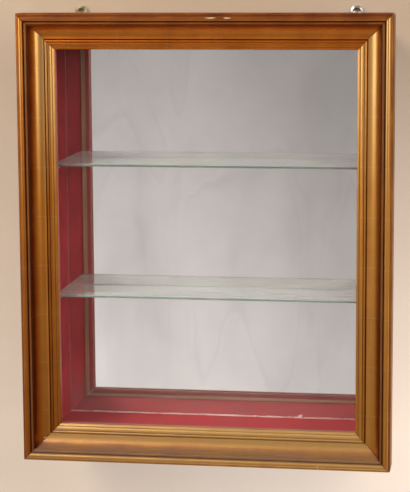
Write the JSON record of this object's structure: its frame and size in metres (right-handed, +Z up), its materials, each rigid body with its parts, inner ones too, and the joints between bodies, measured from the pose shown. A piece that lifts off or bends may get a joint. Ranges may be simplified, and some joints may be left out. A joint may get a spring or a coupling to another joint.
{
  "type": "wall display cabinet",
  "caption": "Shallow wooden wall cabinet with a red lining, a mirror back and loose glass shelves, closed by a hinged glazed door in a gilt moulded frame.",
  "frame": {"origin": "on the wall plane, midway between the holes of the two hanging plates", "axes": "+X to the right as seen from the room, +Y into the wall, +Z up; the door faces -Y"},
  "size_m": [0.6, 0.1744, 0.7355],
  "materials": {
    "gilt_moulding": "gilded softwood moulding, bronze-gold, worn and dusty",
    "clear_glass": "clear float glass",
    "green_glass": "clear float glass with a green edge",
    "glazing_wood": "softwood bead, stained dull red",
    "case_wood": "stained pine boards",
    "red_lining": "red cloth-faced card",
    "silvered_mirror": "silvered float glass",
    "back_plywood": "raw plywood",
    "bright_steel": "bright zinc-plated steel",
    "hanger_steel": "nickel-plated steel",
    "hinge_brass": "rolled brass, dull",
    "screw_brass": "turned brass",
    "catch_plastic": "brown moulded plastic",
    "magnet_ceramic": "sintered ferrite"
  },
  "bodies": {
    "case": {"case_left_board": "case_wood", "case_right_board": "case_wood", "case_top_board": "case_wood", "case_bottom_board": "case_wood", "case_nails": "bright_steel", "lining_left": "red_lining", "lining_right": "red_lining", "lining_top": "red_lining", "lining_bottom": "red_lining", "mirror": "silvered_mirror", "back_board": "back_plywood", "back_board_screws": "bright_steel", "upper_shelf_pins": "bright_steel", "lower_shelf_pins": "bright_steel", "upper_hinge_case_leaf": "hinge_brass", "upper_hinge_pin": "hinge_brass", "lower_hinge_case_leaf": "hinge_brass", "lower_hinge_pin": "hinge_brass", "hinge_case_screws": "screw_brass", "catch_housing": "catch_plastic", "catch_magnet": "magnet_ceramic", "catch_screws": "bright_steel", "left_hanging_plate": "hanger_steel", "right_hanging_plate": "hanger_steel", "hanging_plate_screws": "bright_steel"},
    "door": {"door_left_stile": "gilt_moulding", "door_right_stile": "gilt_moulding", "door_top_rail": "gilt_moulding", "door_bottom_rail": "gilt_moulding", "door_glass": "clear_glass", "glazing_bead_left": "glazing_wood", "glazing_bead_right": "glazing_wood", "glazing_bead_top": "glazing_wood", "glazing_bead_bottom": "glazing_wood", "glazing_brads": "bright_steel", "mitre_v_nails": "bright_steel", "upper_hinge_door_leaf": "hinge_brass", "lower_hinge_door_leaf": "hinge_brass", "hinge_door_screws": "screw_brass", "catch_strike_plate": "bright_steel", "strike_screws": "bright_steel"},
    "upper_shelf": {"upper_glass_shelf": "green_glass"},
    "lower_shelf": {"lower_glass_shelf": "green_glass"}
  },
  "joints": [
    {"name": "door_hinge", "type": "hinge", "parent": "case", "child": "door", "pos_m": [-0.2749, -0.1256, -0.361], "axis": [0, 0, -1], "range_deg": [0, 100]},
    {"name": "upper_shelf_lift", "type": "slide", "parent": "case", "child": "upper_shelf", "axis": [0, 0, 1], "range_m": [0, 0.199]},
    {"name": "lower_shelf_lift", "type": "slide", "parent": "case", "child": "lower_shelf", "axis": [0, 0, 1], "range_m": [0, 0.204]}
  ]
}
